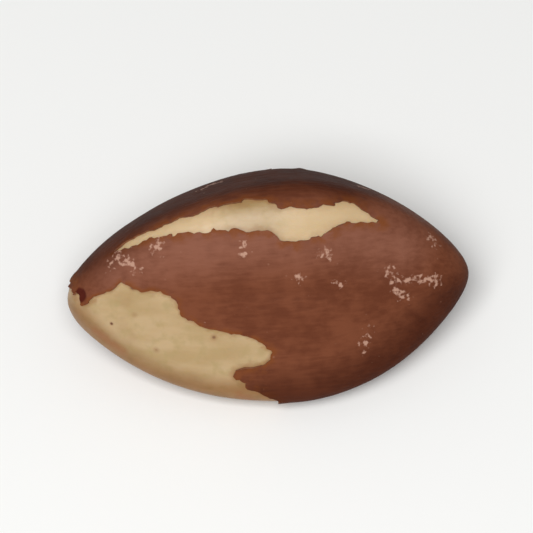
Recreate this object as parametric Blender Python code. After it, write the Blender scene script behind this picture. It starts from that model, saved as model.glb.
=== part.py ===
"""A shelled Brazil nut, 40 mm long: one plump kernel with three long faces that meet in soft ridges, like an
orange segment with its corners rounded off. Most of its thin brown skin is still on. Where the skin has
rubbed away, the cream flesh lies bare and a little lower.

The nut lies on one of its faces. The tip that bears a small scar is towards -X, the plain tip towards +X, and
the broad face looks towards -Y and up. Metres, +Z up. The origin is on the table, under the middle of the nut.
"""

import math

import bmesh
import bpy
from mathutils import Matrix, Vector

MM = 0.001

# Length, and where along it the nut is thickest, from mid length.
LENGTH = 40.0 * MM
THICKEST_AT = 1.8 * MM

# How each end closes: how late its round end begins, and the share that a taper takes off before it. The
# softness keeps the two halves from meeting in an edge at the thickest place.
SCAR_END = (1.46, 0.0)
PLAIN_END = (1.16, 0.09)
TAPER_POWER = 5
MIDDLE_SOFTNESS = 0.3

# The section at the thickest place. Angles go round the nut from the middle of the broad face towards the
# upper ridge. Each face has the angle that it looks towards and its distance from the spine.
BROAD_FACE = (math.radians(0), 6.5 * MM)
BACK_FACE = (math.radians(104), 12.4 * MM)
UNDER_FACE = (math.radians(-130), 8.5 * MM)
RIDGE_REACH = 14.0 * MM
RIDGE_SHARPNESS = 4.0
TWIST = math.radians(3)

# Towards the tips the ridges die away and the section turns round.
TIP_RADIUS = 8.8 * MM
TIP_ROUNDING = 4

# The spine bows, so the tips stand off from it a little, down from the upper ridge and back from the broad face.
TIPS_DOWN = 0.6 * MM
PLAIN_TIP_UP = 0.1 * MM
TIPS_BACK = 0.8 * MM

# Long shallow swells in the faces: height, waves round the nut, radians of drift from the thickest place to
# a tip, and phase.
SWELLS = (
    (0.15 * MM, 2, 1.1, 0.5),
    (0.12 * MM, 3, 4.6, 0.3),
    (0.10 * MM, 5, -1.5, 2.0),
    (0.04 * MM, 9, 0.9, 1.0),
)

# The skin's thickness, and the width of the slope down from it to the bare flesh.
SKIN = 0.2 * MM
TORN_EDGE = 0.9 * MM

# Outlines of the bare patches: millimetres along the nut from mid length, and degrees round it.
UPPER_RIDGE_PATCH = (
    (-14.2, 65), (-11.4, 61), (-6.8, 57), (-1.2, 54), (1.2, 48), (2.8, 44), (5.9, 50), (9.8, 57),
    (11.6, 59), (8.7, 67), (4.7, 63), (1.5, 62), (-0.7, 67), (-2.0, 69), (-6.8, 66), (-11.1, 67),
)
SCAR_END_PATCH = (
    (-14.6, 34), (-12.7, 21), (-11.7, 23), (-9.7, 15), (-9.2, 0), (-7.8, -15), (-4.7, -24), (-1.9, -30),
    (-0.1, -38), (-1.0, -46), (-3.2, -48), (-3.9, -53), (-1.6, -58), (0.4, -64), (1.5, -80), (-2.5, -92),
    (-9.0, -86), (-13.5, -96), (-17.0, -88), (-18.9, -110), (-19.4, -150), (-20.6, -150), (-20.6, 224),
    (-19.5, 224), (-19.2, 150), (-19.4, 76), (-19.0, 34), (-18.0, 21), (-16.0, 26),
)
BACK_RIDGE_PATCH = (
    (-12.5, 158), (-7.0, 149), (-1.5, 153), (4.0, 146), (9.0, 150), (13.5, 156), (14.5, 166),
    (9.5, 169), (4.5, 165), (0.0, 173), (-6.0, 168),
)
UNDER_PATCH = ((6.5, -108), (9.5, -97), (13.5, -95), (15.5, -106), (12.5, -120), (8.5, -117))
BACK_FACE_PATCH = ((-1.5, 118), (2.5, 112), (6.5, 117), (5.0, 127), (0.5, 129))
BARE_PATCHES = (UPPER_RIDGE_PATCH, SCAR_END_PATCH, BACK_RIDGE_PATCH, UNDER_PATCH, BACK_FACE_PATCH)

# Turns an angle round the nut into a distance on the map of bare patches.
MAP_RADIUS = 9.0 * MM

# The small flat spot that the nut rests on is this deep into its underside.
FLAT_SPOT_DEPTH = 0.12 * MM

# Rings of the mesh from tip to tip, and steps round each ring.
RINGS = 66
STEPS_ROUND = 76

SKIN_COLOUR = "764532"
FLESH_COLOUR = "C4A87E"


def place_at(along):
    """From mid length to a place that is -1 at the scarred tip, 0 at the thickest and 1 at the plain tip."""
    return along * LENGTH / 2 + (1 - abs(along)) * THICKEST_AT


def thickness_at(along):
    """Share of the full section at the same place."""
    roundness, taper = SCAR_END if along < 0 else PLAIN_END
    from_middle = abs(along)
    least = MIDDLE_SOFTNESS**roundness
    most = math.hypot(1, MIDDLE_SOFTNESS) ** roundness
    closing = (math.hypot(from_middle, MIDDLE_SOFTNESS) ** roundness - least) / (most - least)
    return math.sqrt(max(0.0, 1 - closing)) * (1 - taper * from_middle**TAPER_POWER)


def section_radius(around):
    """From the spine to the surface of the full section: three faces blended into rounded ridges."""
    total = RIDGE_REACH**-RIDGE_SHARPNESS
    for facing, distance in (BROAD_FACE, BACK_FACE, UNDER_FACE):
        total += (max(0.0, math.cos(around - facing)) / distance) ** RIDGE_SHARPNESS
    return total ** (-1 / RIDGE_SHARPNESS)


def depth_inside(outline, x, around):
    """How far a place lies inside an outline on the map of patches, in metres, or minus how far outside it."""
    corners = [Vector((along * MM, math.radians(turn) * MAP_RADIUS)) for along, turn in outline]
    full_turn = math.tau * MAP_RADIUS
    place = Vector((x, around * MAP_RADIUS))
    place.y += full_turn * round((corners[0].y - place.y) / full_turn)
    nearest = full_turn
    inside = False
    for start, end in zip(corners, corners[1:] + corners[:1]):
        edge = end - start
        share = max(0.0, min(1.0, (place - start).dot(edge) / edge.length_squared))
        nearest = min(nearest, (place - start - share * edge).length)
        if (start.y > place.y) != (end.y > place.y):
            crossing = start.x + edge.x * (place.y - start.y) / edge.y
            inside ^= place.x < crossing
    return nearest if inside else -nearest


def bareness(along, around):
    """0 where the skin is on, 1 where it has rubbed away, and between the two on the slope of its torn edge."""
    x = place_at(along)
    depth = max(depth_inside(outline, x, around) for outline in BARE_PATCHES)
    share = max(0.0, min(1.0, 0.5 + depth / TORN_EDGE))
    return share * share * (3 - 2 * share)


def surface_point(along, around):
    """A point of the nut: x along it, y across the broad face towards the upper ridge, z out of that face."""
    x = place_at(along)
    thickness = thickness_at(along)
    radius = section_radius(around - TWIST * along)
    radius += (TIP_RADIUS - radius) * along**TIP_ROUNDING
    for height, waves, drift, phase in SWELLS:
        radius += height * thickness * math.cos(waves * around + drift * along + phase)
    radius -= SKIN * bareness(along, around)
    radius *= thickness
    towards_tip = 2 * x / LENGTH
    across = PLAIN_TIP_UP * towards_tip - TIPS_DOWN * towards_tip**2
    out = -TIPS_BACK * towards_tip**2
    return Vector((x, across + radius * math.sin(around), out + radius * math.cos(around)))


def kernel_body():
    """The whole nut as one closed body in its own axes. Material 1 is the bare flesh."""
    body = bmesh.new()
    bmesh.ops.create_uvsphere(body, u_segments=STEPS_ROUND, v_segments=RINGS, radius=1)
    bmesh.ops.rotate(body, verts=body.verts, matrix=Matrix.Rotation(math.pi / 2, 3, "Y"))
    for face in body.faces:
        along, across, out = face.calc_center_median()
        face.material_index = int(bareness(along, math.atan2(across, out)) > 0.5)
    for point in body.verts:
        along, across, out = point.co
        point.co = surface_point(max(-1.0, min(1.0, along)), math.atan2(across, out))
    return body


def lay_down(body):
    """Turns the nut onto its under face, flattens the spot that it rests on and centres it over the origin."""
    face_down = Matrix.Rotation(math.pi + UNDER_FACE[0], 3, "X")
    bmesh.ops.rotate(body, verts=body.verts, matrix=face_down)
    table = min(point.co.z for point in body.verts) + FLAT_SPOT_DEPTH
    for point in body.verts:
        point.co.z = max(0.0, point.co.z - table)
    for axis in (0, 1):
        places = [point.co[axis] for point in body.verts]
        middle = (min(places) + max(places)) / 2
        for point in body.verts:
            point.co[axis] -= middle


def material(name, colour, roughness):
    """A plain surface of one colour, given as six sRGB hex digits."""
    shades = [int(colour[i : i + 2], 16) / 255 for i in (0, 2, 4)]
    linear = [s / 12.92 if s <= 0.04045 else ((s + 0.055) / 1.055) ** 2.4 for s in shades]
    made = bpy.data.materials.new(name)
    made.use_nodes = True
    shader = made.node_tree.nodes["Principled BSDF"]
    shader.inputs["Base Color"].default_value = (*linear, 1)
    shader.inputs["Roughness"].default_value = roughness
    shader.inputs["Metallic"].default_value = 0
    return made


for leftover in list(bpy.data.objects):
    bpy.data.objects.remove(leftover)

collection = bpy.data.collections.new("brazil_nut")
bpy.context.scene.collection.children.link(collection)

nut = kernel_body()
lay_down(nut)
mesh = bpy.data.meshes.new("kernel")
nut.to_mesh(mesh)
nut.free()
mesh.shade_smooth()
mesh.materials.append(material("nut skin", SKIN_COLOUR, 0.5))
mesh.materials.append(material("nut flesh", FLESH_COLOUR, 0.4))
kernel = bpy.data.objects.new("kernel", mesh)
collection.objects.link(kernel)
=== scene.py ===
"""The looks of a shelled Brazil nut. Metres, +Z up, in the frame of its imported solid.

The nut lies on one of its three long faces. The tip that bears a small scar is towards -X, the plain tip
towards +X, and the broad face looks towards -Y and up. Two closed meshes stand for it: the cream flesh, and
on it the thin brown skin, torn open at the bare patches.
"""

import math

import bmesh
import bpy
import numpy as np
from mathutils import Matrix, Vector


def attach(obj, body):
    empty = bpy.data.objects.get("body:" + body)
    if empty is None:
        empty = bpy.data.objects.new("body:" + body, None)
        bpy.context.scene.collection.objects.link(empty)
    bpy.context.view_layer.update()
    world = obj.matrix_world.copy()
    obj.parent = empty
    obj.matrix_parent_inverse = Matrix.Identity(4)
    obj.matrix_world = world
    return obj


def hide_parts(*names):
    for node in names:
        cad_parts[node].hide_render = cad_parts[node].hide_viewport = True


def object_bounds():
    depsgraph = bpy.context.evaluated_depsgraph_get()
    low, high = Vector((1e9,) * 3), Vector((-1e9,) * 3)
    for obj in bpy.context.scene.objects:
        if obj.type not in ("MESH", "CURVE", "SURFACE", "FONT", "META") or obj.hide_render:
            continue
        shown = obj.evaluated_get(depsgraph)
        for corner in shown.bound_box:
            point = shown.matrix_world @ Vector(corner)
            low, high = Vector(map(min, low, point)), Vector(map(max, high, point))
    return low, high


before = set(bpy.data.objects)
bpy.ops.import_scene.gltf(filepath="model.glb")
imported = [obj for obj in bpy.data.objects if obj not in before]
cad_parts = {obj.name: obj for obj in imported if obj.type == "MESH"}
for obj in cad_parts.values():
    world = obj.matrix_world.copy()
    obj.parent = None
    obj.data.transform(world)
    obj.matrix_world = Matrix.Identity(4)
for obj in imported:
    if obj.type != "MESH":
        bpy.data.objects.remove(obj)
cad_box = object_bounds()

# The flesh is the seed itself, dense and oily. It grew wedged among its neighbours in a round pod, so it has
# three long faces that meet in soft ridges. It is bare, waxy and cream where the skin has come away with the
# shell.

MM = 0.001
MATH = "ShaderNodeMath"
VECTOR_MATH = "ShaderNodeVectorMath"

# The nut's own axes are x along it, y across the broad face towards the upper ridge and z out of that face.
# Angles go round it from the middle of the broad face towards the upper ridge.
TAPER_POWER = 5
TIP_ROUNDING = 4
FACE_ANGLES = {"Broad Face": 0, "Back Face": 104, "Under Face": -130}
KERNEL_SIZES = {
    "Steps Round": 240,
    "Rings": 230,
    "Length": 40.0 * MM,
    "Thickest At": 1.8 * MM,
    "Scar End": 1.46,
    "Plain End": 1.16,
    "Plain Taper": 0.09,
    "Middle Softness": 0.3,
    "Broad Face": 6.5 * MM,
    "Back Face": 12.4 * MM,
    "Under Face": 8.5 * MM,
    "Ridge Reach": 14.0 * MM,
    "Ridge Sharpness": 4.0,
    "Twist": math.radians(3),
    "Tip Radius": 8.8 * MM,
    "Tips Down": 0.6 * MM,
    "Plain Tip Up": 0.1 * MM,
    "Tips Back": 0.8 * MM,
    "Inset": 0.0,
    "Lump Height": 0.16 * MM,
    "Lump Size": 6.0 * MM,
    "Wrinkle Height": 0.04 * MM,
    "Wrinkle Width": 1.1 * MM,
    "Seed": 3.0,
}

# Long shallow swells: height, waves round the nut, radians of drift from the thickest place to a tip, phase.
SWELLS = (
    (0.15 * MM, 2, 1.1, 0.5),
    (0.12 * MM, 3, 4.6, 0.3),
    (0.10 * MM, 5, -1.5, 2.0),
    (0.04 * MM, 9, 0.9, 1.0),
)

# How the skin tears: the height that each kind of raggedness adds, its size along the nut, and across it.
TONGUES = (0.6 * MM, 4.5 * MM, 2.2 * MM)
TEETH = (0.9 * MM, 1.4 * MM, 0.8 * MM)
CHIPS = (0.35 * MM, 1.1 * MM, 0.7 * MM)

# Turns an angle round the nut into a distance on the map of its surface.
MAP_RADIUS = 9.0 * MM

# How many times as long as they are wide the lumps and the wrinkles are.
LUMP_STRETCH = 1.6
WRINKLE_STRETCH = 5


def add(tree, kind, inputs=(), output=0, **settings):
    """Adds a node and returns one of its outputs. Inputs are links or values, in their order or by name."""
    node = tree.nodes.new(kind)
    for name, value in settings.items():
        setattr(node, name, value)
    sockets = [socket for socket in node.inputs if socket.enabled]
    if isinstance(inputs, dict):
        sockets = [next(socket for socket in sockets if socket.name == name) for name in inputs]
        inputs = inputs.values()
    for socket, value in zip(sockets, inputs):
        if isinstance(value, bpy.types.NodeSocket):
            tree.links.new(value, socket)
        else:
            socket.default_value = value
    return [socket for socket in node.outputs if socket.enabled][output]


def new_tree(name, sizes, materials):
    """A tree from mesh to mesh, with a named input for each size and material. Also returns those inputs."""
    tree = bpy.data.node_groups.new(name, "GeometryNodeTree")
    tree.interface.new_socket("Mesh", in_out="OUTPUT", socket_type="NodeSocketGeometry")
    tree.interface.new_socket("Mesh", in_out="INPUT", socket_type="NodeSocketGeometry")
    for size, value in sizes.items():
        kind = "NodeSocketInt" if isinstance(value, int) else "NodeSocketFloat"
        tree.interface.new_socket(size, in_out="INPUT", socket_type=kind).default_value = value
    for material in materials:
        tree.interface.new_socket(material, in_out="INPUT", socket_type="NodeSocketMaterial")
    return tree, tree.nodes.new("NodeGroupInput").outputs


def grow(name, tree, values, mesh=None):
    """Puts a mesh through a tree and returns a new object whose plain mesh is the result."""
    piece = bpy.data.objects.new(name, mesh or bpy.data.meshes.new(name))
    bpy.context.scene.collection.objects.link(piece)
    modifier = piece.modifiers.new(name, "NODES")
    modifier.node_group = tree
    for socket in tree.interface.items_tree:
        if socket.in_out == "INPUT" and socket.name in values:
            modifier[socket.identifier] = values[socket.name]
    view = bpy.context.evaluated_depsgraph_get()
    made = bpy.data.meshes.new_from_object(piece.evaluated_get(view), depsgraph=view)
    piece.modifiers.remove(modifier)
    piece.data = made
    made.name = name
    return piece


def kernel_tree():
    """Shapes a ball into the nut. Notes on each point its place on the map and how the skin tears there."""
    tree, sizes = new_tree("kernel", KERNEL_SIZES, ["Material"])
    ball = add(tree, "GeometryNodeMeshUVSphere", (sizes["Steps Round"], sizes["Rings"], 1.0))
    ball = add(tree, "GeometryNodeTransform", {"Geometry": ball, "Rotation": (0, math.pi / 2, 0)})
    spot = add(tree, "GeometryNodeInputPosition")
    along, across, out = add(tree, "ShaderNodeSeparateXYZ", (spot,)).node.outputs
    around = add(tree, MATH, (across, out), operation="ARCTAN2")
    sine = add(tree, MATH, (around,), operation="SINE")
    cosine = add(tree, MATH, (around,), operation="COSINE")

    # Distance from mid length. Along is -1 at the scarred tip, 0 at the thickest place, 1 at the plain tip.
    from_middle = add(tree, MATH, (along,), operation="ABSOLUTE")
    near_middle = add(tree, MATH, (1.0, from_middle), operation="SUBTRACT")
    half_length = add(tree, MATH, (sizes["Length"], 0.5), operation="MULTIPLY")
    shift = add(tree, MATH, (near_middle, sizes["Thickest At"]), operation="MULTIPLY")
    x = add(tree, MATH, (along, half_length, shift), operation="MULTIPLY_ADD")

    # Share of the full section there. Each end closes in its own way, with no edge where the two meet.
    is_plain = add(tree, MATH, (along, 0.0), operation="GREATER_THAN")
    roundness = add(tree, "ShaderNodeMix", (is_plain, sizes["Scar End"], sizes["Plain End"]))
    roundness = add(tree, MATH, (roundness, 0.5), operation="MULTIPLY")
    softness = add(tree, MATH, (sizes["Middle Softness"], 2.0), operation="POWER")
    at_tip = add(tree, MATH, (softness, 1.0), operation="ADD")
    here = add(tree, MATH, (from_middle, from_middle, softness), operation="MULTIPLY_ADD")
    least, most, closing = (
        add(tree, MATH, (distance, roundness), operation="POWER") for distance in (softness, at_tip, here)
    )
    left = {"Value": closing, "From Min": least, "From Max": most, "To Min": 1.0, "To Max": 0.0}
    left = add(tree, "ShaderNodeMapRange", left)
    dome = add(tree, MATH, (left,), operation="SQRT")
    near_tip = add(tree, MATH, (from_middle, TAPER_POWER), operation="POWER")
    taper = add(tree, MATH, (is_plain, sizes["Plain Taper"]), operation="MULTIPLY")
    taken = add(tree, MATH, (near_tip, taper), operation="MULTIPLY")
    kept = add(tree, MATH, (1.0, taken), operation="SUBTRACT")
    thickness = add(tree, MATH, (dome, kept), operation="MULTIPLY")

    # The section: three faces blended into rounded ridges, twisted a little and round at the tips.
    twist = add(tree, MATH, (along, sizes["Twist"]), operation="MULTIPLY")
    turned = add(tree, MATH, (around, twist), operation="SUBTRACT")
    blend = add(tree, MATH, (sizes["Ridge Sharpness"], -1.0), operation="MULTIPLY")
    total = add(tree, MATH, (sizes["Ridge Reach"], blend), operation="POWER")
    for face, angle in FACE_ANGLES.items():
        off_face = add(tree, MATH, (turned, math.radians(angle)), operation="SUBTRACT")
        facing = add(tree, MATH, (off_face,), operation="COSINE")
        facing = add(tree, MATH, (facing, 0.0), operation="MAXIMUM")
        closeness = add(tree, MATH, (facing, sizes[face]), operation="DIVIDE")
        term = add(tree, MATH, (closeness, sizes["Ridge Sharpness"]), operation="POWER")
        total = add(tree, MATH, (total, term), operation="ADD")
    root = add(tree, MATH, (-1.0, sizes["Ridge Sharpness"]), operation="DIVIDE")
    section = add(tree, MATH, (total, root), operation="POWER")
    rounding = add(tree, MATH, (from_middle, TIP_ROUNDING), operation="POWER")
    radius = add(tree, "ShaderNodeMix", (rounding, section, sizes["Tip Radius"]))
    for height, waves, drift, phase in SWELLS:
        turn = add(tree, MATH, (around, waves, phase), operation="MULTIPLY_ADD")
        turn = add(tree, MATH, (along, drift, turn), operation="MULTIPLY_ADD")
        wave = add(tree, MATH, (turn,), operation="COSINE")
        swell = add(tree, MATH, (thickness, height), operation="MULTIPLY")
        radius = add(tree, MATH, (wave, swell, radius), operation="MULTIPLY_ADD")
    radius = add(tree, MATH, (radius, thickness), operation="MULTIPLY")

    # The spine bows, so both tips stand off from it.
    towards_tip = add(tree, MATH, (x, half_length), operation="DIVIDE")
    bow = add(tree, MATH, (towards_tip, towards_tip), operation="MULTIPLY")
    down = add(tree, MATH, (bow, sizes["Tips Down"]), operation="MULTIPLY")
    up = add(tree, MATH, (towards_tip, sizes["Plain Tip Up"]), operation="MULTIPLY")
    up = add(tree, MATH, (up, down), operation="SUBTRACT")
    back = add(tree, MATH, (bow, sizes["Tips Back"]), operation="MULTIPLY")
    y = add(tree, MATH, (radius, sine, up), operation="MULTIPLY_ADD")
    z = add(tree, MATH, (radius, cosine), operation="MULTIPLY")
    z = add(tree, MATH, (z, back), operation="SUBTRACT")
    place = add(tree, "ShaderNodeCombineXYZ", (x, y, z))

    # How the skin tears depends on the smooth shape alone, so that the flesh and the skin agree on it.
    tear = 0.0
    for amount, length, width in (TONGUES, TEETH):
        fibre = add(tree, VECTOR_MATH, (place, (1 / length, 1 / width, 1 / width)), operation="MULTIPLY")
        rough = {"Vector": fibre, "W": sizes["Seed"], "Scale": 1.0, "Detail": 2.0}
        ragged = add(tree, "ShaderNodeTexNoise", rough, noise_dimensions="4D")
        ragged = add(tree, MATH, (ragged, 0.5), operation="SUBTRACT")
        tear = add(tree, MATH, (ragged, amount, tear), operation="MULTIPLY_ADD")
    amount, length, width = CHIPS
    flake = add(tree, VECTOR_MATH, (place, (1 / length, 1 / width, 1 / width)), operation="MULTIPLY")
    chip = add(tree, "ShaderNodeTexVoronoi", {"Vector": flake, "Scale": 1.0}, output=1)
    chip = add(tree, "ShaderNodeSeparateXYZ", (chip,))
    chip = add(tree, MATH, (chip, 0.5), operation="SUBTRACT")
    tear = add(tree, MATH, (chip, amount, tear), operation="MULTIPLY_ADD")
    for name, value in (("x", x), ("around", around), ("tear", tear)):
        note = {"Geometry": ball, "Name": name, "Value": value}
        ball = add(tree, "GeometryNodeStoreNamedAttribute", note, data_type="FLOAT", domain="POINT")
    nut = add(tree, "GeometryNodeSetPosition", {"Geometry": ball, "Position": place})

    # Low lumps and fine lengthwise wrinkles stand on the smooth shape, and the inset sets all of it in.
    relief = add(tree, MATH, (sizes["Inset"], -1.0), operation="MULTIPLY")
    lumps = ("Lump Height", "Lump Size", LUMP_STRETCH)
    wrinkles = ("Wrinkle Height", "Wrinkle Width", WRINKLE_STRETCH)
    for height, width, stretch in (lumps, wrinkles):
        fibre = add(tree, VECTOR_MATH, (spot, (1 / stretch, 1.0, 1.0)), operation="MULTIPLY")
        scale = add(tree, MATH, (1.0, sizes[width]), operation="DIVIDE")
        rough = {"Vector": fibre, "W": sizes["Seed"], "Scale": scale, "Detail": 1.5}
        bump = add(tree, "ShaderNodeTexNoise", rough, noise_dimensions="4D")
        bump = add(tree, MATH, (bump, 0.5), operation="SUBTRACT")
        relief = add(tree, MATH, (bump, sizes[height], relief), operation="MULTIPLY_ADD")
    normal = add(tree, "GeometryNodeInputNormal")
    offset = add(tree, VECTOR_MATH, {"Vector": normal, "Scale": relief}, operation="SCALE")
    nut = add(tree, "GeometryNodeSetPosition", {"Geometry": nut, "Offset": offset})

    face_down = (math.pi + math.radians(FACE_ANGLES["Under Face"]), 0, 0)
    nut = add(tree, "GeometryNodeTransform", {"Geometry": nut, "Rotation": face_down})
    nut = add(tree, "GeometryNodeRealizeInstances", (nut,))
    nut = add(tree, "GeometryNodeSetMaterial", {"Geometry": nut, "Material": sizes["Material"]})
    tree.links.new(nut, tree.nodes.new("NodeGroupOutput").inputs[0])
    return tree


# Outlines of the bare patches on the map: millimetres along the nut from mid length, and degrees round it.
UPPER_RIDGE_PATCH = (
    (-15.2, 64), (-13.4, 61), (-11.4, 60), (-9.2, 57), (-6.8, 56), (-4.0, 54), (-1.2, 52), (0.1, 50),
    (1.0, 47), (1.9, 45), (2.8, 44), (3.8, 46), (5.9, 49), (7.3, 55), (9.8, 57), (11.6, 59), (9.8, 64),
    (8.7, 67), (6.2, 64), (4.7, 61), (1.5, 62), (0.3, 65), (-0.7, 67), (-2.0, 68), (-6.8, 65),
    (-11.1, 66), (-13.6, 68),
)
SCAR_END_PATCH = (
    (-14.6, 34), (-13.5, 27), (-12.7, 19), (-11.7, 21), (-10.8, 18), (-9.7, 13), (-9.2, 8), (-9.2, 0),
    (-8.8, -8), (-7.8, -15), (-6.9, -20), (-4.7, -24), (-3.3, -26), (-1.9, -30), (-0.7, -35), (-0.1, -38),
    (-0.3, -42), (-1.0, -47), (-3.2, -49), (-3.9, -51), (-3.9, -55), (-3.0, -58), (-1.6, -62), (-0.4, -64),
    (0.3, -67), (1.5, -80), (-2.5, -92), (-9.0, -86), (-13.5, -96), (-17.0, -88), (-18.9, -110),
    (-19.4, -150), (-20.6, -150), (-20.6, 224), (-19.5, 224), (-19.2, 150), (-19.4, 76), (-19.0, 34),
    (-18.5, 5), (-17.8, 11), (-17.1, 21), (-16.0, 25),
)
BACK_RIDGE_PATCH = (
    (-12.5, 158), (-7.0, 149), (-1.5, 153), (4.0, 146), (9.0, 150), (13.5, 156), (14.5, 166), (9.5, 169),
    (4.5, 165), (0.0, 173), (-6.0, 168),
)
UNDER_PATCH = ((6.5, -108), (9.5, -97), (13.5, -95), (15.5, -106), (12.5, -120), (8.5, -117))
BACK_FACE_PATCH = ((-1.5, 118), (2.5, 112), (6.5, 117), (5.0, 127), (0.5, 129))
BARE_PATCHES = (UPPER_RIDGE_PATCH, SCAR_END_PATCH, BACK_RIDGE_PATCH, UNDER_PATCH, BACK_FACE_PATCH)

# The painted light at both ends of the upper patch, the painted shade along the lower ridge and the brown
# stains are lines on the same map, with their reach.
LIT_PLACES = (((-15, 64), (-7, 58)), ((4, 53), (11, 59)))
LIT_REACH = 4.5 * MM
SHADED_RIDGE = (((-18.9, -70), (-16, -83), (-6, -75), (2, -66)),)
SHADED_RIDGE_REACH = 4.7 * MM
STAINS = (
    ((-17.4, -44), (-16.2, -51), (-14.9, -57)),
    ((-13.0, -74), (-11.5, -76)),
    ((-3.6, -64), (-2.6, -68)),
    ((-4.0, 163), (1.0, 160)),
)
STAIN_REACH = 1.1 * MM

# Nearness to a line is measured from spots along it, this many for each length of the reach.
SPOTS_PER_REACH = 4

# The skin's thickness, and how far it sinks into the flesh.
SKIN = 0.2 * MM
SKIN_SINK = 0.03 * MM

FLAT_SPOT_DEPTH = 0.12 * MM
SHARP_EDGE = math.radians(50)


def read_points(mesh, name):
    """The values that a mesh's points hold under a name."""
    values = np.zeros(len(mesh.vertices), np.float32)
    mesh.attributes[name].data.foreach_get("value", values)
    return values.astype(float)


def note_points(mesh, name, values):
    """Notes a value on each of a mesh's points under a name."""
    mesh.attributes.new(name, "FLOAT", "POINT").data.foreach_set("value", values.astype(np.float32))


def on_map(mesh, line):
    """A line's points and a mesh's on the map, in metres, the mesh's on the lap nearest the line."""
    corners = np.array([(along * MM, math.radians(turn) * MAP_RADIUS) for along, turn in line])
    full_turn = math.tau * MAP_RADIUS
    across = read_points(mesh, "around") * MAP_RADIUS
    across = across + full_turn * np.round((corners[0, 1] - across) / full_turn)
    return corners, read_points(mesh, "x"), across


def depth_inside(mesh, outline):
    """How far inside an outline on the map each of a mesh's points lies, or minus how far outside it."""
    corners, x, across = on_map(mesh, outline)
    nearest = np.full(len(x), math.inf)
    inside = np.zeros(len(x), bool)
    for start, end in zip(corners, np.roll(corners, -1, axis=0)):
        edge = end - start
        share = ((x - start[0]) * edge[0] + (across - start[1]) * edge[1]) / (edge @ edge)
        share = np.clip(share, 0, 1)
        distance = np.hypot(x - start[0] - share * edge[0], across - start[1] - share * edge[1])
        nearest = np.minimum(nearest, distance)
        spans = (start[1] > across) != (end[1] > across)
        inside ^= spans & (x < start[0] + edge[0] / (edge[1] or 1.0) * (across - start[1]))
    return np.where(inside, nearest, -nearest)


def nearness(mesh, lines, reach):
    """1 where a mesh's point is on one of some lines of the map, falling to 0 at their reach from it."""
    points = np.array([point.co for point in mesh.vertices])
    nearest = np.full(len(points), reach)
    for line in lines:
        corners, x, across = on_map(mesh, line)
        for start, end in zip(corners, [*corners[1:], corners[-1]]):
            spots = 2 + int(SPOTS_PER_REACH * np.hypot(*(end - start)) / reach)
            for spot in np.linspace(start, end, spots):
                on_line = points[np.argmin(np.hypot(x - spot[0], across - spot[1]))]
                nearest = np.minimum(nearest, np.linalg.norm(points - on_line, axis=1))
    return 1 - nearest / reach


def note_bareness(mesh):
    """Notes on each point how far it lies inside a bare patch's torn edge, or minus how far outside."""
    depth = np.max([depth_inside(mesh, outline) for outline in BARE_PATCHES], axis=0)
    note_points(mesh, "bare", depth + read_points(mesh, "tear"))


def set_down(mesh, shift):
    """Moves a mesh to its place, flattens the small spot that the nut rests on and smooths the shading."""
    mesh.transform(Matrix.Translation(shift))
    for point in mesh.vertices:
        point.co.z = max(0.0, point.co.z)
    mesh.shade_smooth()
    mesh.set_sharp_from_angle(angle=SHARP_EDGE)


def linear(hex_digits):
    """The linear colour of six sRGB hex digits."""
    shades = [int(hex_digits[i : i + 2], 16) / 255 for i in (0, 2, 4)]
    return (*[s / 12.92 if s <= 0.04045 else ((s + 0.055) / 1.055) ** 2.4 for s in shades], 1.0)


def new_material(name):
    """A material with its node tree and its Principled shader."""
    material = bpy.data.materials.new(name)
    material.use_nodes = True
    return material, material.node_tree, material.node_tree.nodes["Principled BSDF"]


def tinted(tree, tint, share, colour, blend="MIX"):
    """A colour mixed into a tint by a share that varies over the surface."""
    mixed = {"Factor": share, "A": tint, "B": linear(colour)}
    return add(tree, "ShaderNodeMix", mixed, data_type="RGBA", blend_type=blend)


def ramp(tree, value, start, end, most=1.0):
    """A smooth rise from 0 to the most as a value goes from start to end."""
    rise = {"Value": value, "From Min": start, "From Max": end, "To Max": most}
    return add(tree, "ShaderNodeMapRange", rise, interpolation_type="SMOOTHSTEP")


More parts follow.
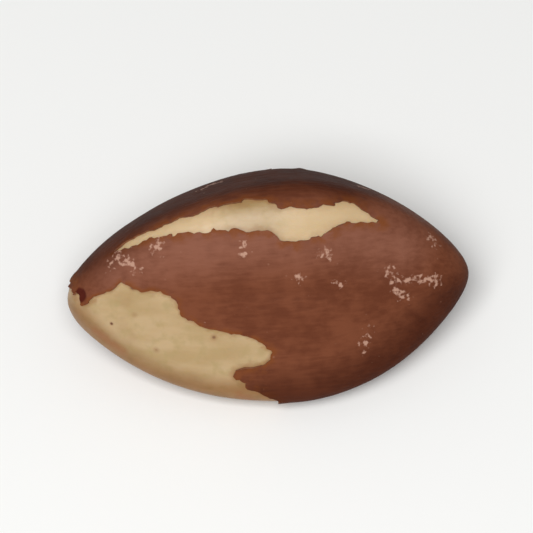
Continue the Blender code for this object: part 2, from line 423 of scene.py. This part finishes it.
def flesh_material():
    """Oily nut flesh, scraped bare: waxy, faintly see-through, cream with tan stains and brown dots.

    Painted light lies at both ends of the upper patch, and painted shade along the lower ridge.
    """
    material, tree, shader = new_material("bare nut flesh")
    place = add(tree, "ShaderNodeTexCoord", output=3)
    grain = add(tree, "ShaderNodeMapping", {"Vector": place, "Scale": (1 / 4, 1, 1)})
    bare, painted_light, ridge_shade, stained = (
        add(tree, "ShaderNodeAttribute", attribute_name=name, output=2)
        for name in ("bare", "painted_light", "ridge_shade", "stained")
    )
    ragged = add(tree, "ShaderNodeTexNoise", {"Vector": place, "Scale": 1 / (1.1 * MM), "Detail": 3.0})

    # Soft lengthwise bands, clouds and small mottles of a deeper cream.
    bands = add(tree, "ShaderNodeTexNoise", {"Vector": grain, "Scale": 1 / (2.0 * MM), "Detail": 3.0})
    tint = tinted(tree, linear("B79C75"), ramp(tree, bands, 0.35, 0.7, 0.75), "A68A5C")
    clouds = add(tree, "ShaderNodeTexNoise", {"Vector": place, "Scale": 1 / (3.2 * MM), "Detail": 4.0})
    tint = tinted(tree, tint, ramp(tree, clouds, 0.56, 0.74, 0.3), "957246")
    tint = tinted(tree, tint, ramp(tree, ragged, 0.45, 0.75, 0.6), "A38D5C")

    # The flesh has painted shade along the lower ridge, a tan along the torn skin, painted light at both
    # ends of the upper patch, and brown stains in a few places.
    tint = tinted(tree, tint, ramp(tree, ridge_shade, 0.1, 0.6), "C9AB81", "MULTIPLY")
    reach = add(tree, MATH, (ragged, 1.2 * MM), operation="MULTIPLY")
    tint = tinted(tree, tint, ramp(tree, bare, reach, 0.0, 0.5), "926233")
    tint = tinted(tree, tint, ramp(tree, painted_light, 0.0, 0.8, 0.65), "D2B68D")
    patchy = add(tree, MATH, (ragged, 0.9, stained), operation="MULTIPLY_ADD")
    tint = tinted(tree, tint, ramp(tree, patchy, 0.6, 1.4, 0.8), "8E5A2B")

    # Small brown dots with a soft halo, where spots of skin were left.
    cell = add(tree, "ShaderNodeTexVoronoi", {"Vector": place, "Scale": 1 / (1.9 * MM)})
    chosen = add(tree, "ShaderNodeSeparateColor", (cell.node.outputs["Color"],))
    size = add(tree, "ShaderNodeMapRange", {"Value": chosen, "From Min": 0.5, "To Max": 0.2})
    halo = add(tree, MATH, (size, 1.8), operation="MULTIPLY")
    tint = tinted(tree, tint, ramp(tree, cell, halo, 0.0, 0.8), "8A5D35")
    core = add(tree, MATH, (size, 0.45), operation="MULTIPLY")
    tint = tinted(tree, tint, ramp(tree, cell, size, core, 0.9), "5E3420")
    tree.links.new(tint, shader.inputs["Base Color"])

    shader.inputs["Subsurface Weight"].default_value = 0.3
    shader.inputs["Subsurface Radius"].default_value = (1.0, 0.55, 0.25)
    shader.inputs["Subsurface Scale"].default_value = 0.8 * MM
    shader.inputs["IOR"].default_value = 1.47
    gloss = add(tree, "ShaderNodeMapRange", {"Value": ragged, "To Min": 0.36, "To Max": 0.54})
    tree.links.new(gloss, shader.inputs["Roughness"])

    # Shallow dents, and pores drawn coarser than the real ones so that they show.
    dents = add(tree, "ShaderNodeTexNoise", {"Vector": grain, "Scale": 1 / (1.4 * MM), "Detail": 2.0})
    dents = add(tree, "ShaderNodeBump", {"Strength": 0.6, "Distance": 0.12 * MM, "Height": dents})
    pores = add(tree, "ShaderNodeTexNoise", {"Vector": place, "Scale": 1 / (0.3 * MM), "Detail": 3.0})
    bump = {"Strength": 0.5, "Distance": 0.03 * MM, "Height": pores, "Normal": dents}
    tree.links.new(add(tree, "ShaderNodeBump", bump), shader.inputs["Normal"])
    return material


kernel_shape = kernel_tree()
flesh_sizes = {"Inset": SKIN, "Wrinkle Height": 0.05 * MM, "Wrinkle Width": 2.0 * MM}
flesh = grow("flesh", kernel_shape, {**flesh_sizes, "Material": flesh_material()})
note_bareness(flesh.data)
# Painted light at both ends of the upper patch.
note_points(flesh.data, "painted_light", nearness(flesh.data, LIT_PLACES, LIT_REACH))
# Painted shade along the lower ridge.
note_points(flesh.data, "ridge_shade", nearness(flesh.data, SHADED_RIDGE, SHADED_RIDGE_REACH))
note_points(flesh.data, "stained", nearness(flesh.data, STAINS, STAIN_REACH))

# The surface under the whole skin gives both pieces their place.
whole = grow("whole_skin", kernel_shape, {"Inset": SKIN + SKIN_SINK})
low = np.min([point.co for point in whole.data.vertices], axis=0)
high = np.max([point.co for point in whole.data.vertices], axis=0)
middle = (cad_box[0] + cad_box[1]) / 2
shift = middle - Vector((low + high) / 2)
shift.z = -low[2] + SKIN - FLAT_SPOT_DEPTH

set_down(flesh.data, shift)
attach(flesh, "root")
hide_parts("kernel")


# The skin is the seed's own thin brown coat, dry and shrunk onto the flesh in fine lengthwise wrinkles. It
# tears along its fibres when the hard shell is cracked away, and its ragged edges stand up a little.

# Specks smaller than the least area are left out, and a cut keeps off both ends of an edge by the least
# share of its length.
LEAST_SPECK = 0.12 * MM**2
LEAST_CUT = 0.1
SKIN_SIZES = {
    "Thickness": SKIN + SKIN_SINK,
    "Lift Height": 0.14 * MM,
    "Lift Reach": 1.0 * MM,
    "Lift Size": 2.5 * MM,
    "Pit Depth": 0.13 * MM,
    "Seed": 5.0,
}

# The scar where the seed hung in its pod.
SCAR = (((-18.5, 29),),)
SCAR_RADIUS = 1.0 * MM

# Light flecks, each a line on the map: partly scuffs and partly painted glints.
SCUFFS_AND_GLINTS = (
    ((-15.4, 53), (-15.1, 58), (-14.4, 57), (-13.7, 51), (-13.2, 45), (-12.8, 40)),
    ((-14.6, 55), (-13.6, 48)),
    ((-11.2, 54), (-10.5, 55)),
    ((-2.4, 46), (-2.4, 41)),
    ((5.2, 38), (5.7, 40), (6.1, 38)),
    ((2.8, 22), (2.8, 19)),
    ((6.4, 15), (7.0, 13)),
    ((11.5, 24), (12.1, 21)),
    ((12.6, 13), (14.4, 12), (15.9, 10), (16.5, 7)),
    ((16.4, 12), (16.5, 1)),
    ((12.2, 19), (12.4, 2), (12.6, -3), (13.4, -7)),
    ((16.2, 63), (16.6, 55)),
    ((9.4, -32), (9.2, -38), (9.0, -43)),
    ((-6.0, 101), (-5.2, 106), (-4.1, 107)),
    ((9.5, 92), (10.4, 95)),
    ((-3.0, -128), (-1.2, -131), (0.5, -130)),
)
SCUFF_AND_GLINT_REACH = 1.0 * MM

# Two ridges are lighter and cooler, with painted sheen as well as wear. The back face and the lower ridge
# towards the plain tip are darker, with painted shade.
SHEEN_AND_WEAR_RIDGES = (((-15, 49), (13, 48)), ((-13, 158), (15, 158)))
SHEEN_AND_WEAR_REACH = 6.0 * MM
SHADED_PLACES = (((-15, 106), (-5, 105), (0, 97), (7, 97)), ((1, -83), (17, -86)))
SHADED_REACH = 6.8 * MM


def cut_at_tears(body, depth):
    """Cuts a body's faces along the line where depth turns from minus to plus."""
    for edge in list(body.edges):
        start, end = edge.verts
        if (start[depth] > 0) != (end[depth] > 0):
            share = start[depth] / (start[depth] - end[depth])
            share = min(max(share, LEAST_CUT), 1 - LEAST_CUT)
            point = bmesh.utils.edge_split(edge, start, share)[1]
            point[depth] = 0.0
    for face in list(body.faces):
        cuts = [point for point in face.verts if point[depth] == 0.0]
        if len(cuts) == 2:
            bmesh.utils.face_split(face, cuts[0], cuts[1])
        elif len(cuts) == 4:
            # The line crosses the face twice, so its second cut is in one of the two parts from the first.
            rest = bmesh.utils.face_split(face, cuts[0], cuts[1])[0]
            for part in (face, rest):
                if cuts[2] in part.verts and cuts[3] in part.verts:
                    bmesh.utils.face_split(part, cuts[2], cuts[3])
                    break


def patches_of(body, depth):
    """Groups of faces that join each other, each group all bare or all under skin."""
    is_bare = {face: sum(point[depth] for point in face.verts) > 0 for face in body.faces}
    left = set(body.faces)
    while left:
        group = [left.pop()]
        for face in group:
            for edge in face.edges:
                for near in edge.link_faces:
                    if near in left and is_bare[near] == is_bare[face]:
                        left.remove(near)
                        group.append(near)
        yield is_bare[group[0]], group


def open_bare_patches(mesh):
    """Leaves only the skin of a nut's surface. Specks of skin go too, and bare specks stay covered."""
    body = bmesh.new()
    body.from_mesh(mesh)
    depth = body.verts.layers.float["bare"]
    cut_at_tears(body, depth)
    gone = []
    for is_bare, group in patches_of(body, depth):
        is_speck = sum(face.calc_area() for face in group) < LEAST_SPECK
        if is_bare != is_speck:
            gone += group
    bmesh.ops.delete(body, geom=gone, context="FACES")
    body.to_mesh(mesh)
    body.free()


def skin_tree():
    """Lifts the skin's torn edges here and there, dents the scar, thickens the skin and closes it."""
    tree, sizes = new_tree("skin", SKIN_SIZES, ["Skin", "Torn Edge"])

    # The edges lift where the skin is loose, and the scar is a shallow pit.
    spot = add(tree, "GeometryNodeInputPosition")
    normal = add(tree, "GeometryNodeInputNormal")
    bare = add(tree, "GeometryNodeInputNamedAttribute", ("bare",), data_type="FLOAT")
    reach = add(tree, MATH, (sizes["Lift Reach"], -1.0), operation="MULTIPLY")
    edge = {"Value": bare, "From Min": reach, "From Max": 0.0}
    edge = add(tree, "ShaderNodeMapRange", edge, interpolation_type="SMOOTHSTEP")
    scale = add(tree, MATH, (1.0, sizes["Lift Size"]), operation="DIVIDE")
    loose = {"Vector": spot, "W": sizes["Seed"], "Scale": scale, "Detail": 1.0}
    loose = add(tree, "ShaderNodeTexNoise", loose, noise_dimensions="4D")
    loose = {"Value": loose, "From Min": 0.48, "From Max": 0.72}
    loose = add(tree, "ShaderNodeMapRange", loose, interpolation_type="SMOOTHSTEP")
    lift = add(tree, MATH, (edge, loose), operation="MULTIPLY")
    lift = add(tree, MATH, (lift, sizes["Lift Height"]), operation="MULTIPLY")
    scar = add(tree, "GeometryNodeInputNamedAttribute", ("scar",), data_type="FLOAT")
    pit = add(tree, "ShaderNodeMapRange", {"Value": scar, "From Max": 0.8}, interpolation_type="SMOOTHSTEP")
    pit = add(tree, MATH, (pit, sizes["Pit Depth"]), operation="MULTIPLY")
    lift = add(tree, MATH, (lift, pit), operation="SUBTRACT")
    offset = add(tree, VECTOR_MATH, {"Vector": normal, "Scale": lift}, operation="SCALE")
    inner = add(tree, "GeometryNodeSetPosition", {"Geometry": sizes["Mesh"], "Offset": offset})

    # The surface turned over, a copy of it raised by the thickness and the wall between them close the skin.
    outer = {"Mesh": inner, "Offset Scale": sizes["Thickness"], "Individual": False}
    outer, _, side = add(tree, "GeometryNodeExtrudeMesh", outer).node.outputs
    closed = add(tree, "GeometryNodeJoinGeometry", (outer,))
    tree.links.new(add(tree, "GeometryNodeFlipFaces", (inner,)), closed.node.inputs[0])
    closed = add(tree, "GeometryNodeMergeByDistance", {"Geometry": closed, "Distance": 0.001 * MM})
    closed = add(tree, "GeometryNodeRealizeInstances", (closed,))
    closed = add(tree, "GeometryNodeSetMaterial", {"Geometry": closed, "Material": sizes["Skin"]})
    closed = {"Geometry": closed, "Selection": side, "Material": sizes["Torn Edge"]}
    closed = add(tree, "GeometryNodeSetMaterial", closed)
    tree.links.new(closed, tree.nodes.new("NodeGroupOutput").inputs[0])
    return tree


def skin_material():
    """Dry seed skin, a papery coat: matt reddish brown, mottled, with faint fibres and paler scuffs.

    Painted glints, painted sheen on the ridges and painted shade are also in its colour.
    """
    material, tree, shader = new_material("dry seed skin")
    place = add(tree, "ShaderNodeTexCoord", output=3)
    grain = add(tree, "ShaderNodeMapping", {"Vector": place, "Scale": (1 / 7, 1, 1)})
    bare, painted_shade, sheen_and_wear, scuffs_and_glints, scar = (
        add(tree, "ShaderNodeAttribute", attribute_name=name, output=2)
        for name in ("bare", "painted_shade", "sheen_and_wear", "scuffs_and_glints", "scar")
    )

    # Clouds and mottles of lighter and darker brown, with fibres along the nut. The real fibres are finer:
    # these are as coarse as they need to show.
    clouds = add(tree, "ShaderNodeTexNoise", {"Vector": place, "Scale": 1 / (4.5 * MM), "Detail": 2.0})
    mottles = add(tree, "ShaderNodeTexNoise", {"Vector": place, "Scale": 1 / (1.0 * MM), "Detail": 3.0})
    fibres = add(tree, "ShaderNodeTexNoise", {"Vector": grain, "Scale": 1 / (0.35 * MM), "Detail": 3.0})
    shade = add(tree, "ShaderNodeMix", (0.35, clouds, mottles))
    shade = add(tree, "ShaderNodeMix", (0.28, shade, fibres))
    tint = tinted(tree, linear("613320"), ramp(tree, shade, 0.38, 0.62), "73412B")

    # Ridges are lighter and cooler with painted sheen and wear, torn edges are orange brown, painted
    # shade darkens the back face and the lower ridge, and small paler specks lie here and there.
    # Painted sheen, with wear, makes the ridges lighter and cooler.
    ridge_sheen_and_wear = add(tree, MATH, (sheen_and_wear, shade), operation="MULTIPLY")
    tint = tinted(tree, tint, ramp(tree, ridge_sheen_and_wear, 0.05, 0.6, 0.8), "885846")
    near_edge = ramp(tree, bare, -0.9 * MM, 0.0, 0.8)
    near_edge = add(tree, MATH, (near_edge, ramp(tree, mottles, 0.35, 0.6)), operation="MULTIPLY")
    tint = tinted(tree, tint, near_edge, "77411E")
    # Painted shade darkens the back face and the lower ridge towards the plain tip.
    tint = tinted(tree, tint, ramp(tree, painted_shade, 0.0, 0.5), "B5A296", "MULTIPLY")
    cell = add(tree, "ShaderNodeTexVoronoi", {"Vector": place, "Scale": 1 / (1.7 * MM)})
    chosen = add(tree, "ShaderNodeSeparateColor", (cell.node.outputs["Color"],))
    size = add(tree, "ShaderNodeMapRange", {"Value": chosen, "From Min": 0.7, "To Max": 0.12})
    tint = tinted(tree, tint, ramp(tree, cell, size, 0.0, 0.5), "966B57")

    # Scuffs and painted glints broken up into flecks, and the dark red scar.
    flecks = add(tree, "ShaderNodeTexNoise", {"Vector": place, "Scale": 1 / (0.45 * MM), "Detail": 2.0})
    broken = add(tree, MATH, (scuffs_and_glints, 0.35, flecks), operation="MULTIPLY_ADD")
    tint = tinted(tree, tint, ramp(tree, broken, 0.73, 0.92, 0.8), "BC9480")
    ragged_scar = add(tree, MATH, (mottles, 0.4, scar), operation="MULTIPLY_ADD")
    tint = tinted(tree, tint, ramp(tree, ragged_scar, 0.3, 0.65, 0.95), "4A1810")
    tree.links.new(tint, shader.inputs["Base Color"])

    shader.inputs["IOR"].default_value = 1.45
    shader.inputs["Specular IOR Level"].default_value = 0.08
    gloss = add(tree, "ShaderNodeMapRange", {"Value": mottles, "To Min": 0.55, "To Max": 0.75})
    tree.links.new(gloss, shader.inputs["Roughness"])
    ribbed = add(tree, "ShaderNodeBump", {"Strength": 0.7, "Distance": 0.1 * MM, "Height": fibres})
    bump = {"Strength": 0.6, "Distance": 0.1 * MM, "Height": mottles, "Normal": ribbed}
    tree.links.new(add(tree, "ShaderNodeBump", bump), shader.inputs["Normal"])
    return material


def torn_edge_material():
    """The cut face of the skin: rough, dry and a paler orange brown than its outside."""
    material, tree, shader = new_material("torn skin edge")
    place = add(tree, "ShaderNodeTexCoord", output=3)
    fray = add(tree, "ShaderNodeTexNoise", {"Vector": place, "Scale": 1 / (0.4 * MM), "Detail": 2.0})
    tint = tinted(tree, linear("5A2E1D"), fray, "94603A")
    tree.links.new(tint, shader.inputs["Base Color"])
    shader.inputs["Roughness"].default_value = 0.75
    return material


note_bareness(whole.data)
note_points(whole.data, "scar", nearness(whole.data, SCAR, SCAR_RADIUS))
# Flecks that are partly scuffs and partly painted glints.
note_points(whole.data, "scuffs_and_glints", nearness(whole.data, SCUFFS_AND_GLINTS, SCUFF_AND_GLINT_REACH))
# Painted sheen and wear along two ridges.
note_points(whole.data, "sheen_and_wear", nearness(whole.data, SHEEN_AND_WEAR_RIDGES, SHEEN_AND_WEAR_REACH))
# Painted shade on the back face and on the lower ridge towards the plain tip.
note_points(whole.data, "painted_shade", nearness(whole.data, SHADED_PLACES, SHADED_REACH))
open_bare_patches(whole.data)
materials = {"Skin": skin_material(), "Torn Edge": torn_edge_material()}
skin = grow("skin", skin_tree(), materials, whole.data)
bpy.data.objects.remove(whole)

set_down(skin.data, shift)
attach(skin, "root")
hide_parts("kernel")


# A plain pale table, soft lights in front of it and a camera at the photograph's angle.

TABLE_SIZE = 6.0
CAMERA_AZIMUTH = math.radians(-4.5)
CAMERA_ELEVATION = math.radians(58.6)
CAMERA_DISTANCE = 0.8
NUT_SHARE_OF_FRAME = 0.76
SENSOR_WIDTH = 36.0
LIGHT_DISTANCE = 0.6


def table_material():
    """Matt laminate, even and almost white."""
    material, _, shader = new_material("matt white laminate")
    shader.inputs["Base Color"].default_value = linear("F4F4F2")
    shader.inputs["Roughness"].default_value = 0.7
    return material


table = bpy.data.meshes.new("table")
ground = bmesh.new()
bmesh.ops.create_grid(ground, x_segments=1, y_segments=1, size=TABLE_SIZE / 2)
ground.to_mesh(table)
ground.free()
table.materials.append(table_material())
floor = bpy.data.objects.new("table", table)
bpy.context.scene.collection.objects.link(floor)


def away(azimuth, elevation):
    """The direction from the nut to a place at these angles. Azimuth 0 is towards -Y, 90 towards +X."""
    level = math.cos(elevation)
    return Vector((math.sin(azimuth) * level, -math.cos(azimuth) * level, math.sin(elevation)))


def soft_light(name, size, power, azimuth, elevation):
    """A square soft box that faces the nut, with its side in metres, its watts and its angles in degrees."""
    light = bpy.data.lights.new(name, "AREA")
    light.size = size
    light.energy = power
    lamp = bpy.data.objects.new(name, light)
    facing = away(math.radians(azimuth), math.radians(elevation))
    lamp.location = middle + LIGHT_DISTANCE * facing
    lamp.rotation_euler = facing.to_track_quat("Z", "Y").to_euler()
    bpy.context.scene.collection.objects.link(lamp)


soft_light("key", 0.35, 3.4, -18, 60)
soft_light("fill", 0.6, 0.1, -50, 20)

world = bpy.data.worlds.new("studio")
world.use_nodes = True
world.node_tree.nodes["Background"].inputs["Color"].default_value = linear("FAFBFC")
world.node_tree.nodes["Background"].inputs["Strength"].default_value = 0.3
bpy.context.scene.world = world
bpy.context.scene.view_settings.view_transform = "Standard"

lens = bpy.data.cameras.new("camera")
lens.sensor_width = SENSOR_WIDTH
length = cad_box[1].x - cad_box[0].x
lens.lens = SENSOR_WIDTH * CAMERA_DISTANCE * NUT_SHARE_OF_FRAME / length
camera = bpy.data.objects.new("camera", lens)
direction = away(CAMERA_AZIMUTH, CAMERA_ELEVATION)
camera.location = middle + CAMERA_DISTANCE * direction
camera.rotation_euler = direction.to_track_quat("Z", "Y").to_euler()
bpy.context.scene.collection.objects.link(camera)
bpy.context.scene.camera = camera
